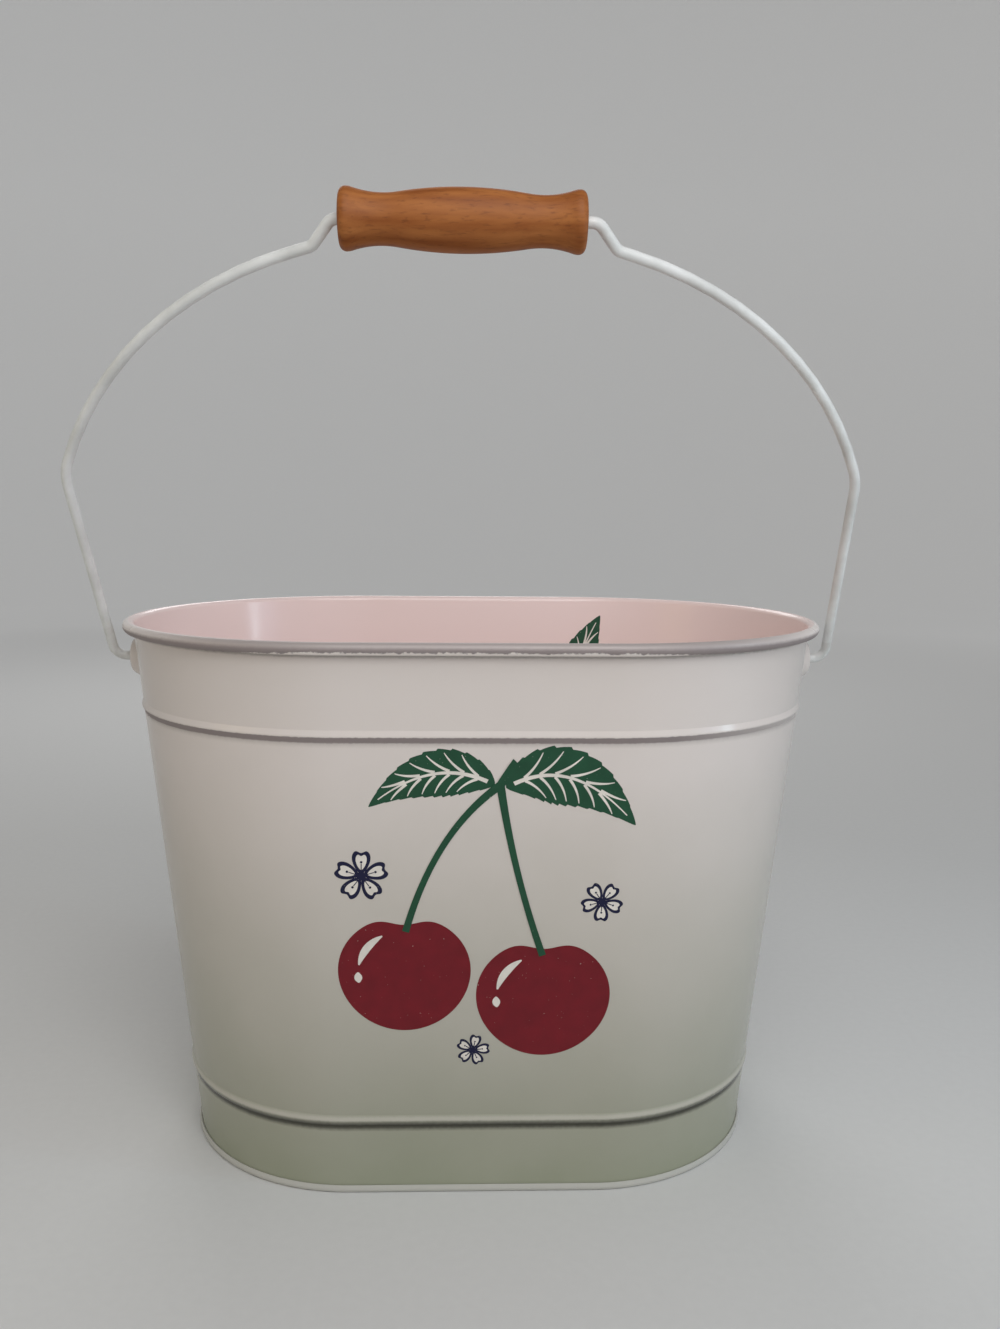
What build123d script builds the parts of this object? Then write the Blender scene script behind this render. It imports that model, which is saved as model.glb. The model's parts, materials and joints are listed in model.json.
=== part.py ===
from build123d import *
import os
from math import atan, cos, degrees, radians, sin, tan

# An oval sheet-metal bucket, wider at the top: a wall rolled round a wire at the rim, a pan seamed to
# its foot, two welded ears, and a wire bail with a turned wooden grip. Millimetres. The origin is the
# middle of the foot's underside, +Z is up, +X runs along the oval and the bail rests leaning to -Y.

# Wall: an oval of two straight sides and two round ends, so every radius is one of its ends
half_straight = 46.3
foot_radius = 69.1
rim_radius = 90.3
rim_height = 211.5
wall_sheet = 0.5

# Rim roll and the wire inside it
roll_radius = 2.25
roll_turn = 290
roll_wire_clearance = 0.15

# Swaged beads, pushed outwards: two flat flanks and a rounded crest
bead_heights = (30.7, 180.5)
bead_peak = 0.8
bead_width = 4.2
bead_round = 1.2

# Lapped side seam, on the right end towards the back
lap_angle = 23
lap_width = 5
lap_step = 0.45
lap_rim_gap = 1

# Pan, and the foot seam: its edge turns up round the wall's flared edge and closes over it
pan_sheet = 0.5
floor_height = 5.2
floor_bend = 1.5
flare = 0.6
flare_height = 1.1
seam_clearance = 0.1
seam_overlap = 0.3
foot_flattening = 0.05

# Ears: domed stampings whose flange follows the wall
ear_drop = 15.1
ear_sheet = 0.8
ear_height = 5.2
ear_top_radius = 6.2
ear_foot_radius = 9.6
ear_bend = 2.2
ear_flange_radius = 12.3
ear_seat_gap = 0.05

# Bail wire: its corners are given by reach, the distance from the pivot line
wire_radius = 1.925
bail_lean = 32
bail_sway = 4
leg_gap = 6.9
leg_bend = 5.2
shoulder_reach = 86
shoulder_tuck = 1.5
shoulder_bend = 25
arch_lean = 24
arch_fall = 16.3
arch_share = 0.93
kink_angle = 53
kink_length = 11.2
kink_bend = 4.5
pivot_clearance = 0.3
head_radius = 3.2
head_thickness = 1.6
head_play = 0.6

# Grip, turned from one piece of wood
grip_reach = 180
grip_length = 78.3
grip_belly_radius = 10
grip_neck_radius = 7.95
grip_collar_radius = 9.8
grip_neck_inset = 13.6
grip_belly_hollow = 5.1
grip_collar_hollow = 9.6
grip_end_round = 2.2
grip_mouth = 0.8
grip_clearance = 0.3
grip_end_play = 1.1
grip_slide = 0.8

# Values that follow from the sizes above
wall_slope = (rim_radius - foot_radius) / rim_height
wall_angle = atan(wall_slope)
wall_upwards = Vector(sin(wall_angle), cos(wall_angle))
wall_outwards = Vector(cos(wall_angle), -sin(wall_angle))
roll_line_radius = roll_radius - wall_sheet / 2
pivot_height = rim_height - ear_drop

# The foot seam's lines, as distances outwards from the wall's outer face, and its heights
pan_skirt = -wall_sheet - seam_clearance - pan_sheet / 2
pan_fold = flare + seam_clearance + pan_sheet / 2
pan_lip = seam_clearance + pan_sheet / 2
seam_turn_radius = (pan_fold - pan_skirt) / 2
seam_turn_height = seam_turn_radius * (1 + sin(wall_angle)) + pan_sheet / 2 - foot_flattening
flare_edge_height = seam_turn_height + wall_sheet / 2
flare_knee_height = flare_edge_height + flare_height
seam_height = flare_knee_height + seam_overlap


def wall_point(height, outwards=0.0):
    """Point (radius, height) this far outwards from the wall's outer face, square to it."""
    return (foot_radius + wall_slope * height + outwards / cos(wall_angle), height)


def smooth_arcs(points, direction):
    """Arcs from point to point, the first leaving along a direction and each next one tangent to it."""
    arcs = []
    for start, end in zip(points, points[1:]):
        arcs.append(TangentArc(start, end, tangent=direction))
        direction = arcs[-1] % 1
    return arcs


def around_oval(profile):
    """Carry a (radius, height) profile once round the oval: one straight, one end, and their twins."""
    end_axis = Axis((half_straight, 0, 0), (0, 0, 1))
    section = Plane((half_straight, 0, 0), x_dir=(0, -1, 0), z_dir=(-1, 0, 0)) * profile
    half = extrude(section, amount=2 * half_straight) + revolve(section, end_axis, 180)
    return half + half.rotate(Axis.Z, 180)


def beaded_line(low, high):
    """The wall sheet's middle line from one height to another, over its beads."""
    corners = [wall_point(low, -wall_sheet / 2)]
    bends = []
    for height in bead_heights:
        middle = Vector(*wall_point(height, -wall_sheet / 2))
        root = wall_upwards * (bead_width / 2)
        corners += [middle - root, middle + wall_outwards * bead_peak, middle + root]
        bends += [0, bead_round, 0]
    return FilletPolyline(*corners, wall_point(high, -wall_sheet / 2), radius=bends)


def make_side_wall():
    """One sheet from the flared foot edge, up over two beads, into the rim roll, with its side lap."""
    edge = wall_point(flare_edge_height, flare - wall_sheet / 2)
    flared_foot = Line(edge, wall_point(flare_knee_height, -wall_sheet / 2))
    body = beaded_line(flare_knee_height, rim_height + roll_line_radius * sin(wall_angle))
    roll = JernArc(body @ 1, wall_upwards, roll_line_radius, -roll_turn)
    wall = around_oval(trace([flared_foot, body, roll], wall_sheet))

    lap_line = beaded_line(seam_height + pan_sheet, rim_height - roll_radius - lap_rim_gap)
    lap_turn = degrees(lap_width / foot_radius)
    lap = revolve(Plane.XZ * Pos(lap_step, 0) * trace(lap_line, wall_sheet), Axis.Z, lap_turn)
    return wall + Pos(half_straight, 0) * Rot(0, 0, lap_angle - lap_turn / 2) * lap


def make_rim_wire():
    """The wire that the rim is rolled round."""
    centre = wall_point(rim_height, roll_line_radius - wall_sheet / 2)
    radius = roll_radius - wall_sheet - roll_wire_clearance
    return around_oval(Pos(*centre) * Circle(radius))


def make_bottom_pan():
    """A floor set up inside the wall, its edge turned down, round the wall's foot and in over its flare."""
    skirt_end = wall_point(seam_turn_height, pan_skirt)
    floor_edge = wall_point(floor_height, pan_skirt)
    floor = FilletPolyline((0, floor_height), floor_edge, skirt_end, radius=floor_bend)
    turn = JernArc(skirt_end, -wall_upwards, seam_turn_radius, 180)
    fold = wall_point(flare_edge_height, pan_fold)
    lip = Polyline(turn @ 1, fold, wall_point(seam_height, pan_lip))
    pan = around_oval(trace([floor, turn, lip], pan_sheet))
    return split(pan, Plane.XY, Keep.TOP)


def wall_end_core(outwards):
    """The right end's cone, this far outside the wall, over the ear's height."""
    low = pivot_height - ear_flange_radius - ear_height
    high = pivot_height + ear_flange_radius + ear_height
    cone = Cone(
        wall_point(low, outwards)[0],
        wall_point(high, outwards)[0],
        high - low,
        align=(Align.CENTER, Align.CENTER, Align.MIN),
    )
    return Pos(half_straight, 0, low) * cone


def ear_frame():
    """Where the right ear's pivot line leaves the wall: local X is outwards along that line."""
    return Pos(half_straight + wall_point(pivot_height)[0], 0, pivot_height)


def make_right_ear():
    """A dome pressed up from a flange that lies on the wall, holed for the bail's end."""
    sunk = ear_flange_radius * wall_slope + ear_height / 2
    spread = (ear_foot_radius - ear_top_radius) / ear_height
    top = ear_height - ear_sheet / 2
    dome_line = FilletPolyline(
        (top, 0),
        (top, ear_top_radius),
        (-sunk, ear_foot_radius + spread * sunk),
        radius=ear_bend,
    )
    closing = Polyline(dome_line @ 1, (-sunk, 0), dome_line @ 0)
    dome = revolve(trace(dome_line, ear_sheet), Axis.X)
    under_dome = revolve(make_face([dome_line, closing]), Axis.X)
    disc = Rot(0, 90, 0) * Cylinder(ear_flange_radius, 2 * ear_height)
    hole = Rot(0, 90, 0) * Cylinder(wire_radius + pivot_clearance, 4 * ear_height)
    flange = (ear_frame() * disc) & wall_end_core(ear_seat_gap + ear_sheet)
    shell = flange - ear_frame() * under_dome + ear_frame() * dome
    return shell - wall_end_core(ear_seat_gap) - ear_frame() * hole


def bail_frame():
    """The bail's plane: local X runs along the pivot line and local Y is reach."""
    lean = radians(bail_lean)
    return Plane((0, 0, pivot_height), x_dir=(1, 0, 0), z_dir=(0, -cos(lean), -sin(lean)))


def bail_corners():
    """The right half's corners from the leg to the grip, with no sway, and the bend at each."""
    rim_edge = half_straight + wall_point(rim_height, roll_line_radius - wall_sheet / 2)[0] + roll_radius
    leg = Vector(rim_edge + leg_gap, 0)
    shoulder = Vector(leg.X - shoulder_tuck, shoulder_reach)
    kink_end = grip_length / 2 + grip_end_play + kink_bend * tan(radians(kink_angle) / 2)
    grip_corner = Vector(kink_end, grip_reach)
    kink = grip_corner + Vector(cos(radians(kink_angle)), -sin(radians(kink_angle))) * kink_length
    lean = radians(arch_lean)
    fall = radians(arch_fall)
    gap = kink - shoulder
    rise = (gap.X * sin(fall) + gap.Y * cos(fall)) / cos(lean + fall)
    arch = shoulder + Vector(-sin(lean), cos(lean)) * rise
    shorter_run = min(rise, (kink - arch).length)
    arch_turn = radians(90 - arch_lean - arch_fall)
    arch_bend = arch_share * shorter_run / tan(arch_turn / 2)
    corners = [leg, shoulder, arch, kink, grip_corner]
    return corners, [leg_bend, shoulder_bend, arch_bend, kink_bend, kink_bend]


def make_bail_wire():
    """One bent wire from ear to ear, with a head upset on each end inside the ear."""
    corners, bends = bail_corners()
    swayed = [corners[0]] + [corner - Vector(bail_sway, 0) for corner in corners[1:]]
    mirrored = [Vector(-corner.X, corner.Y) for corner in corners]
    swayed_left = [mirrored[0]] + [corner - Vector(bail_sway, 0) for corner in mirrored[1:]]
    ear_inside = ear_frame().position.X + ear_height - ear_sheet
    head_face = ear_inside - head_play
    ends = [Vector(-head_face, 0), Vector(head_face, 0)]
    path = FilletPolyline([ends[0], *swayed_left, *reversed(swayed), ends[1]], radius=bends + bends[::-1])
    wire = sweep(Plane(path @ 0, z_dir=path % 0) * Circle(wire_radius), path=path)
    head = Rot(0, 90, 0) * Cylinder(head_radius, head_thickness)
    for side in (-1, 1):
        wire += Pos(side * (head_face - head_thickness / 2), 0) * head
    return bail_frame() * wire


def make_grip():
    """Turned on one axis: a full belly between two necks that flare to the collars, bored through."""
    end = grip_length / 2
    bore = wire_radius + grip_clearance
    crest = Vector(end - grip_end_round, grip_collar_radius)
    neck = Vector(end - grip_neck_inset, grip_neck_radius)
    belly = Vector(0, grip_belly_radius)
    face = (end, grip_collar_radius - grip_end_round)
    belly_turn = neck + (belly - neck) * (grip_belly_hollow / (neck - belly).X)
    collar_turn = neck + (crest - neck) * (grip_collar_hollow / (crest - neck).X)
    outline = [
        Polyline(belly, (0, bore), (end - grip_mouth, bore), (end, bore + grip_mouth), face),
        TangentArc(crest, face, tangent=(1, 0)),
        *smooth_arcs([crest, collar_turn, neck, belly_turn, belly], (-1, 0)),
    ]
    half = make_face(outline)
    whole = half + mirror(half, about=Plane.YZ)
    return bail_frame() * Pos(-bail_sway - grip_slide, grip_reach) * revolve(whole, Axis.X)


right_ear = make_right_ear()
nodes = {
    "side_wall": make_side_wall(),
    "bottom_pan": make_bottom_pan(),
    "rim_wire": make_rim_wire(),
    "left_ear": mirror(right_ear, about=Plane.YZ),
    "right_ear": right_ear,
    "bail_wire": make_bail_wire(),
    "grip": make_grip(),
}

os.makedirs("parts", exist_ok=True)
for name, solid in nodes.items():
    export_step(solid, f"parts/{name}.step")
    print(name, len(solid.solids()), "solid", round(solid.volume), "cubic millimetres")
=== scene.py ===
# %% [markdown]
# # An oval metal bucket
#
# The bucket is pressed and rolled from thin steel sheet, enamelled cream, and carried by a wire bail
# with a turned wooden grip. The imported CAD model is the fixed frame: its bodies carry the joints, and
# each piece modelled here rides on one of them. A CAD node's mesh is faceted, so every piece that shows
# is modelled again with finer, rounder faces in the same place.

# %% Load the frame
import json
from math import atan, cos, degrees, exp, hypot, pi, radians, sin, tan

import bpy
from mathutils import Matrix, Vector

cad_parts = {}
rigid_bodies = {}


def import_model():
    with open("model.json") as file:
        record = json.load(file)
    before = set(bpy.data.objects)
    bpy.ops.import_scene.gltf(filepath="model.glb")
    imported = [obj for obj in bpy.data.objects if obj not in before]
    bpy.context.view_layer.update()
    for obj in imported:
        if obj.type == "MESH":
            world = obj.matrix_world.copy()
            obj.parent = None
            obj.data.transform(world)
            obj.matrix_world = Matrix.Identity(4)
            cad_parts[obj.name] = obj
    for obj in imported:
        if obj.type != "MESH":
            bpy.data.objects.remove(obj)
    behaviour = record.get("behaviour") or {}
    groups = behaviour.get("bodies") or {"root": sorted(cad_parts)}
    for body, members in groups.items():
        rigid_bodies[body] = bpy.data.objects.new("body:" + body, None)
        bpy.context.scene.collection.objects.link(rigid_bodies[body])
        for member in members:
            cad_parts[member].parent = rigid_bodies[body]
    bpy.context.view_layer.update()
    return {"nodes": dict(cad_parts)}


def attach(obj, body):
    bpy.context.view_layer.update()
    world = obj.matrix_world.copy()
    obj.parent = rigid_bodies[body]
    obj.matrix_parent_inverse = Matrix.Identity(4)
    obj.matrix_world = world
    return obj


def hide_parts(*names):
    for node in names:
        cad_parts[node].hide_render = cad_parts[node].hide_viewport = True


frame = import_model()

# %% [markdown]
# ## The wall's sizes
#
# The wall is an oval of two straight sides and two round ends, so one radius at each height gives the
# whole outline. Its sheet is the same line all round, seen in section: a flared foot edge, a slanting
# side with two swaged beads, and a rim that is rolled outwards. The sizes are those of the frame.

# %% Wall sizes
MM = 0.001
half_straight = 46.3 * MM
foot_radius = 69.1 * MM
rim_radius = 90.3 * MM
rim_height = 211.5 * MM
sheet = 0.5 * MM
roll_radius = 2.25 * MM
roll_turn = radians(290)
bead_heights = (30.7 * MM, 180.5 * MM)
bead_peak = 0.8 * MM
bead_width = 4.2 * MM
bead_round = 1.2 * MM
bead_root_round = 0.8 * MM

wall_slope = (rim_radius - foot_radius) / rim_height
wall_angle = atan(wall_slope)
wall_upwards = Vector((sin(wall_angle), cos(wall_angle)))
wall_outwards = Vector((cos(wall_angle), -sin(wall_angle)))
roll_line_radius = roll_radius - sheet / 2


def wall_point(height, outwards=0.0):
    """Point (radius, height) this far outwards from the wall's outer face, square to it."""
    return Vector((foot_radius + wall_slope * height + outwards / cos(wall_angle), height))


print("wall leans", round(degrees(wall_angle), 2), "degrees outwards")

# %% [markdown]
# ## Lines with rounded corners
#
# Folded sheet has no sharp corner: each fold is a small arc. The corners are listed, and a function
# puts a few points on the arc at each. One more point just outside an arc holds the flat's shading flat,
# because a smooth-shaded face bends its normals wherever its neighbour turns.

# %% Rounded lines
held_edge = 0.3 * MM


def rounded(corners, radii, steps=5):
    """A line through corners, each inner one rounded to its radius and held flat on both sides."""
    line = [corners[0]]
    for before, corner, after, radius in zip(corners, corners[1:], corners[2:], radii):
        back = (before - corner).normalized()
        ahead = (after - corner).normalized()
        half_angle = back.angle(ahead) / 2
        reach = radius / tan(half_angle)
        centre = corner + (back + ahead).normalized() * radius / sin(half_angle)
        start = (corner + back * reach - centre).normalized()
        end = (corner + ahead * reach - centre).normalized()
        line.append(corner + back * (reach + held_edge))
        line += [centre + start.slerp(end, step / steps) * radius for step in range(steps + 1)]
        line.append(corner + ahead * (reach + held_edge))
    return line + [corners[-1]]


def arc(centre, radius, start, turn, steps):
    """Points after the first on an arc in the section, turning from a start angle."""
    angles = [start + turn * step / steps for step in range(1, steps + 1)]
    return [centre + Vector((cos(angle), sin(angle))) * radius for angle in angles]


def beaded_line(low, high, outwards):
    """The wall's line between two heights over its beads, this far outwards from the outer face."""
    corners = [wall_point(low, outwards)]
    radii = []
    for height in bead_heights:
        middle = wall_point(height, outwards)
        root = wall_upwards * bead_width / 2
        corners += [middle - root, middle + wall_outwards * bead_peak, middle + root]
        radii += [bead_root_round, bead_round, bead_root_round]
    return rounded(corners + [wall_point(high, outwards)], radii)


print("the beaded line has", len(beaded_line(0, rim_height, 0)), "points")

# %% [markdown]
# ## Drawing a section and carrying it round the oval
#
# By hand this is one vertex that is extruded from point to point, and then spun. Spin turns the section
# about an end's axis, extrude carries it along a straight side, and the same again closes the oval.
# With no window, Spin turns clockwise about its axis, so the axis here points down.

# %% Drawing tools
weld_reach = 0.01 * MM
end_steps = 72


def new_piece(name):
    """A new mesh object at the origin, in edit mode, with one selected vertex."""
    bpy.ops.object.select_all(action="DESELECT")
    bpy.ops.mesh.primitive_plane_add(size=MM)
    piece = bpy.context.object
    piece.name = name
    piece.data.name = name
    bpy.ops.object.mode_set(mode="EDIT")
    bpy.ops.mesh.merge(type="CENTER")
    return piece


def draw_line(points):
    """Move the selected vertex to the first point, extrude it along the rest and select the line."""
    bpy.ops.transform.translate(value=points[0])
    for here, there in zip(points, points[1:]):
        bpy.ops.mesh.extrude_vertices_move(TRANSFORM_OT_translate={"value": there - here})
    bpy.ops.mesh.select_linked()


def extrude_by(offset):
    """Extrude what is selected and move it by an offset."""
    bpy.ops.mesh.extrude_region_move(TRANSFORM_OT_translate={"value": offset})


def weld(inside=False):
    """Merge doubled vertices of the whole mesh and turn its faces outwards, or inwards."""
    bpy.ops.mesh.select_all(action="SELECT")
    bpy.ops.mesh.remove_doubles(threshold=weld_reach)
    bpy.ops.mesh.normals_make_consistent(inside=inside)


def carry_round_oval(section):
    """Draw a (radius, height) section at the front of the right end and carry it round the oval."""
    draw_line([Vector((half_straight, -radius, height)) for radius, height in section])
    for end in (half_straight, -half_straight):
        bpy.ops.mesh.spin(steps=end_steps, angle=pi, center=(end, 0, 0), axis=(0, 0, -1))
        extrude_by((-2 * end, 0, 0))
    weld()


print("each round end is turned in", end_steps, "steps")

# %% [markdown]
# A sheet is drawn as one surface and gets its thickness last, from Solidify. Smooth shading then hides
# the facets of the round stretches, and a limit on the angle keeps cut edges crisp.

# %% Finishing tools
smooth_limit = 35


def thicken(piece, thickness):
    """Leave edit mode and give a sheet its thickness, half to each side."""
    bpy.ops.object.mode_set(mode="OBJECT")
    bpy.ops.object.modifier_add(type="SOLIDIFY")
    solidify = piece.modifiers[-1]
    solidify.thickness = thickness
    solidify.offset = 0
    solidify.use_even_offset = True
    bpy.ops.object.modifier_apply(modifier=solidify.name)


def smooth(piece):
    """Shade smoothly, except over edges sharper than the limit in degrees."""
    bpy.ops.object.shade_smooth_by_angle(angle=radians(smooth_limit))
    print(piece.name, len(piece.data.vertices), "vertices", len(piece.data.polygons), "faces")


print("edges over", smooth_limit, "degrees stay crisp")

# %% [markdown]
# ## Side wall
#
# The real wall is one strip of sheet, rolled round a wire at the top and flared at the foot so that the
# pan can grip it. The section's middle line is drawn once, carried round, and thickened by Solidify, so
# the beads show as ridges outside and as grooves inside, as swaged beads do.

# %% Side wall
pan_sheet = 0.5 * MM
flare = 0.6 * MM
flare_height = 1.1 * MM
seam_clearance = 0.1 * MM
seam_overlap = 0.3 * MM
pan_skirt = -sheet - seam_clearance - pan_sheet / 2
pan_fold = flare + seam_clearance + pan_sheet / 2
pan_lip = seam_clearance + pan_sheet / 2
seam_turn_radius = (pan_fold - pan_skirt) / 2
seam_turn_height = seam_turn_radius * (1 + sin(wall_angle)) + pan_sheet / 2
flare_edge_height = seam_turn_height + sheet / 2
flare_knee_height = flare_edge_height + flare_height
seam_height = flare_knee_height + seam_overlap

roll_centre = wall_point(rim_height, roll_line_radius - sheet / 2)
roll_start_height = rim_height + roll_line_radius * sin(wall_angle)
wall_section = [wall_point(flare_edge_height, flare - sheet / 2)]
wall_section += beaded_line(flare_knee_height, roll_start_height, -sheet / 2)
wall_section += arc(roll_centre, roll_line_radius, pi - wall_angle, -roll_turn, steps=30)

wall = new_piece("side_wall_sheet")
carry_round_oval(wall_section)
thicken(wall, sheet)
smooth(wall)
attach(wall, "bucket")
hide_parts("side_wall")

# %% [markdown]
# ## Side lap
#
# The strip's two ends overlap and are welded, on the right end towards the back. The lap is a short
# stretch of the same beaded line, one sheet further out, turned about the end's axis.

# %% Side lap
lap_angle = radians(23)
lap_width = 5 * MM
lap_step = 0.45 * MM
lap_rim_gap = 1 * MM
lap_turn = lap_width / foot_radius

lap_low = seam_height + pan_sheet
lap_high = rim_height - roll_radius - lap_rim_gap
lap = new_piece("side_lap_strip")
lap_start = Matrix.Rotation(lap_angle - lap_turn / 2, 3, "Z")
end_centre = Vector((half_straight, 0, 0))
lap_line = beaded_line(lap_low, lap_high, -sheet / 2)
lap_section = [Vector((radius + lap_step, 0, height)) for radius, height in lap_line]
draw_line([end_centre + lap_start @ point for point in lap_section])
bpy.ops.mesh.spin(steps=4, angle=lap_turn, center=end_centre, axis=(0, 0, -1))
weld()
thicken(lap, sheet)
smooth(lap)
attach(lap, "bucket")

# %% [markdown]
# ## Bottom pan
#
# The bottom is a second sheet: a floor set up inside the wall, whose edge turns down, folds round the
# wall's foot and closes over its flare. That fold is the pale line round the foot. The folded edge is
# carried round like the wall, and one face then fills the oval floor.

# %% Bottom pan
floor_height = 5.2 * MM
floor_bend = 1.5 * MM
floor_band = 8 * MM
fold_round = 0.35 * MM

skirt_end = wall_point(seam_turn_height, pan_skirt)
floor_edge = wall_point(floor_height, pan_skirt)
floor_start = floor_edge - Vector((floor_band, 0))
turn_centre = skirt_end + wall_outwards * seam_turn_radius
turn_end = turn_centre + wall_outwards * seam_turn_radius
fold = wall_point(flare_edge_height, pan_fold)
pan_section = rounded([floor_start, floor_edge, skirt_end], [floor_bend])
pan_section += arc(turn_centre, seam_turn_radius, pi - wall_angle, pi, steps=12)
pan_section += rounded([turn_end, fold, wall_point(seam_height, pan_lip)], [fold_round], steps=3)[1:]

pan = new_piece("bottom_pan_sheet")
carry_round_oval(pan_section)
bpy.ops.mesh.select_all(action="DESELECT")
bpy.ops.object.mode_set(mode="OBJECT")
for vertex in pan.data.vertices:
    beyond = max(abs(vertex.co.x) - half_straight, 0)
    vertex.select = hypot(beyond, vertex.co.y) < floor_start.x + held_edge / 2
bpy.ops.object.mode_set(mode="EDIT")
bpy.ops.mesh.edge_face_add()
weld()
thicken(pan, pan_sheet)
smooth(pan)
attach(pan, "bucket")
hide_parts("bottom_pan")

# %% [markdown]
# ## Ears
#
# Each ear is a cup stamped from thicker sheet, holed for the bail's end, with a flange that lies on the
# wall. The cup is spun about the pivot line as if the wall were flat there. Each vertex then moves along
# that line by as much as the round, leaning wall falls away below it: all of that at the flange, and
# nothing at the cup's top, which stays flat. The left ear is a mirrored copy of the right one.

# %% Ears
ear_drop = 15.1 * MM
ear_sheet = 0.8 * MM
ear_height = 5.2 * MM
ear_top_radius = 6.2 * MM
ear_foot_radius = 9.6 * MM
ear_flange_radius = 12.3 * MM
ear_bend = 2.2 * MM
ear_foot_bend = 1.2 * MM
ear_seat_gap = 0.05 * MM
wire_radius = 1.925 * MM
pivot_clearance = 0.3 * MM

pivot_height = rim_height - ear_drop
wall_at_pivot = half_straight + wall_point(pivot_height).x
flange_lift = ear_seat_gap + ear_sheet / 2
cup_top = ear_height - ear_sheet / 2
foot_reach = ear_foot_radius - flange_lift * (ear_foot_radius - ear_top_radius) / ear_height
ear_corners = [
    Vector((cup_top, wire_radius + pivot_clearance)),
    Vector((cup_top, ear_top_radius)),
    Vector((flange_lift, foot_reach)),
    Vector((flange_lift, ear_flange_radius)),
]
ear_section = rounded(ear_corners, [ear_bend, ear_foot_bend])

right_ear = new_piece("right_ear_cup")
draw_line([Vector((wall_at_pivot + out, 0, pivot_height + radius)) for out, radius in ear_section])
bpy.ops.mesh.spin(steps=64, angle=2 * pi, center=(0, 0, pivot_height), axis=(1, 0, 0))
weld()
bpy.ops.object.mode_set(mode="OBJECT")
for vertex in right_ear.data.vertices:
    share = (cup_top - (vertex.co.x - wall_at_pivot)) / (cup_top - flange_lift)
    wall_here = half_straight + (wall_point(vertex.co.z).x ** 2 - vertex.co.y**2) ** 0.5
    vertex.co.x += share * (wall_here - wall_at_pivot)
thicken(right_ear, ear_sheet)
smooth(right_ear)

bpy.ops.object.duplicate()
left_ear = bpy.context.object
left_ear.name = "left_ear_cup"
bpy.ops.object.mode_set(mode="EDIT")
bpy.ops.mesh.select_all(action="SELECT")
bpy.ops.transform.resize(value=(-1, 1, 1), center_override=(0, 0, 0))
bpy.ops.mesh.flip_normals()
bpy.ops.object.mode_set(mode="OBJECT")
for ear, node in ((left_ear, "left_ear"), (right_ear, "right_ear")):
    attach(ear, "bucket")
    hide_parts(node)

# %% [markdown]
# ## Bail: its corners
#
# A bail is bent from one length of wire. Its corners are worked out first, as on a bender's drawing: up
# each leg, round the shoulder, over the arch, and through a kink to the grip's axis. They lie in a plane
# that leans to the front, and all but the ends sway a little to the left.

# %% Bail corners
bail_lean = radians(32)
bail_sway = 4 * MM
leg_gap = 6.9 * MM
leg_bend = 5.2 * MM
shoulder_reach = 86 * MM
shoulder_tuck = 1.5 * MM
shoulder_bend = 25 * MM
arch_lean = radians(24)
arch_fall = radians(16.3)
arch_share = 0.93
kink_angle = radians(53)
kink_length = 11.2 * MM
kink_bend = 4.5 * MM
head_radius = 3.2 * MM
head_thickness = 1.6 * MM
head_play = 0.6 * MM
grip_reach = 180 * MM
grip_length = 78.3 * MM
grip_end_play = 1.1 * MM
grip_slide = 0.8 * MM

leg = Vector((half_straight + roll_centre.x + roll_radius + leg_gap, 0))
shoulder = leg + Vector((-shoulder_tuck, shoulder_reach))
grip_corner = Vector((grip_length / 2 + grip_end_play + kink_bend * tan(kink_angle / 2), grip_reach))
kink = grip_corner + Vector((cos(kink_angle), -sin(kink_angle))) * kink_length
gap = kink - shoulder
rise = (gap.x * sin(arch_fall) + gap.y * cos(arch_fall)) / cos(arch_lean + arch_fall)
arch = shoulder + Vector((-sin(arch_lean), cos(arch_lean))) * rise
arch_turn = pi / 2 - arch_lean - arch_fall
arch_bend = arch_share * min(rise, (kink - arch).length) / tan(arch_turn / 2)
half_bends = [leg_bend, shoulder_bend, arch_bend, kink_bend, kink_bend]
half_corners = [leg, shoulder, arch, kink, grip_corner]


def on_bail(across, reach):
    """Point on the bail's leaning plane: across is along the pivot line, reach is away from it."""
    return Vector((across, -reach * sin(bail_lean), pivot_height + reach * cos(bail_lean)))


head_face = wall_at_pivot + ear_height - ear_sheet - head_play
wire_corners = [on_bail(-head_face, 0), on_bail(-leg.x, 0)]
wire_corners += [on_bail(-corner.x - bail_sway, corner.y) for corner in half_corners[1:]]
wire_corners += [on_bail(corner.x - bail_sway, corner.y) for corner in reversed(half_corners[1:])]
wire_corners += [on_bail(leg.x, 0), on_bail(head_face, 0)]
print("the bail has", len(half_bends) * 2, "bends; its arch has a radius of", round(arch_bend / MM), "mm")

# %% [markdown]
# ## Bail: its wire
#
# The wire is made as a bender makes it: a disc is extruded along each straight run and spun about the
# middle of each bend. The head that keeps each end in its ear is the disc at its full size, inset to the
# wire. A curve with a round bevel would be quicker, but it has neither true bends nor heads.

# %% Bail wire
bend_step = radians(4)
fewest_bend_steps = 5

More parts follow.
